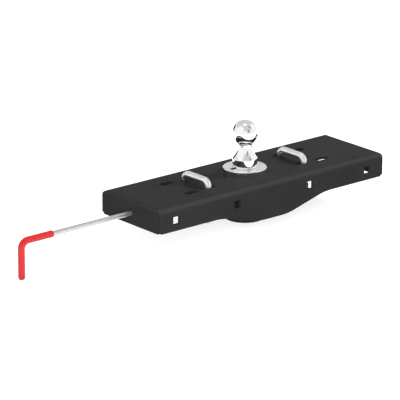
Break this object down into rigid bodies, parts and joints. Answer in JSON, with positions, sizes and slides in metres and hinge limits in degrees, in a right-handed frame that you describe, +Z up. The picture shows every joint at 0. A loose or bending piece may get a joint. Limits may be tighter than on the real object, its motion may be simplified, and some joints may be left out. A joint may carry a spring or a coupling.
{
  "type": "gooseneck hitch head",
  "caption": "Flanged steel hitch deck with a swivelling trailer ball in a pinned socket, sprung safety-chain loops and a pull-and-turn release handle.",
  "frame": {"origin": "centre of the deck's top face, on the axis of the ball and socket", "axes": "+Z up along the ball's axis, +X along the deck away from the handle, -Y towards the front flange"},
  "size_m": [0.9678, 0.2, 0.2328],
  "materials": {
    "black_coat": "satin black powder coat with a fine texture",
    "chrome": "polished chrome plate",
    "bright_ring": "turned and plated bright ring",
    "bright_zinc": "bright zinc plate",
    "zinc_plate": "zinc plate",
    "spring_steel": "drawn spring wire",
    "red_vinyl": "dipped red vinyl"
  },
  "bodies": {
    "head": {"deck_shell": "black_coat", "gusset_left": "black_coat", "gusset_right": "black_coat", "brace_front": "black_coat", "brace_rear": "black_coat", "socket_tube": "black_coat", "socket_floor": "black_coat", "socket_ring": "bright_ring", "rod_bracket": "black_coat", "lever_stud": "zinc_plate", "lever_washer": "zinc_plate", "lever_nut": "zinc_plate", "spring_seats_left": "zinc_plate", "spring_seats_right": "zinc_plate", "lock_spring": "spring_steel", "loop_springs_left": "spring_steel", "loop_springs_right": "spring_steel"},
    "ball": {"hitch_ball": "chrome"},
    "yoke": {"drive_yoke": "zinc_plate", "yoke_washer": "zinc_plate", "spring_washer": "zinc_plate"},
    "handle": {"handle_rod": "zinc_plate", "handle_grip": "red_vinyl", "handle_stop_pin": "zinc_plate", "locking_pin_left": "zinc_plate", "rod_cross_pin": "zinc_plate"},
    "lever": {"rocker_lever": "zinc_plate", "link_stud": "zinc_plate", "link_nut": "zinc_plate"},
    "link": {"link_strap": "zinc_plate", "locking_pin_right": "zinc_plate", "link_bolt": "zinc_plate", "link_bolt_nut": "zinc_plate"},
    "loop_left": {"chain_loop_left": "bright_zinc", "loop_washers_left": "zinc_plate", "loop_nuts_left": "zinc_plate"},
    "loop_right": {"chain_loop_right": "bright_zinc", "loop_washers_right": "zinc_plate", "loop_nuts_right": "zinc_plate"}
  },
  "joints": [
    {"name": "ball_swivel", "type": "hinge", "parent": "head", "child": "ball", "pos_m": [0, 0, 0], "axis": [0, 0, 1], "continuous": true},
    {"name": "handle_pull", "type": "slide", "parent": "head", "child": "yoke", "axis": [-1, 0, 0], "range_m": [0, 0.016], "stiffness_N_per_m": 1500, "springref_m": -0.012, "deforming": ["lock_spring"]},
    {"name": "handle_turn", "type": "hinge", "parent": "yoke", "child": "handle", "pos_m": [-0.33, 0, -0.03], "axis": [1, 0, 0], "range_deg": [-90, 90]},
    {"name": "lever_rock", "type": "hinge", "parent": "head", "child": "lever", "pos_m": [-0.102, -0.03, -0.02], "axis": [0, 0, 1], "range_deg": [0, 29.91]},
    {"name": "link_slide", "type": "slide", "parent": "head", "child": "link", "axis": [1, 0, 0], "range_m": [0, 0.0161]},
    {"name": "loop_left_lift", "type": "slide", "parent": "head", "child": "loop_left", "axis": [0, 0, 1], "range_m": [0, 0.025], "stiffness_N_per_m": 900, "springref_m": -0.015, "deforming": ["loop_springs_left"]},
    {"name": "loop_right_lift", "type": "slide", "parent": "head", "child": "loop_right", "axis": [0, 0, 1], "range_m": [0, 0.025], "stiffness_N_per_m": 900, "springref_m": -0.015, "deforming": ["loop_springs_right"]}
  ],
  "couplings": [
    {"joint": "lever_rock", "follows": "handle_pull", "rad_per_m": 32.575},
    {"joint": "link_slide", "follows": "handle_pull", "ratio": 1}
  ]
}
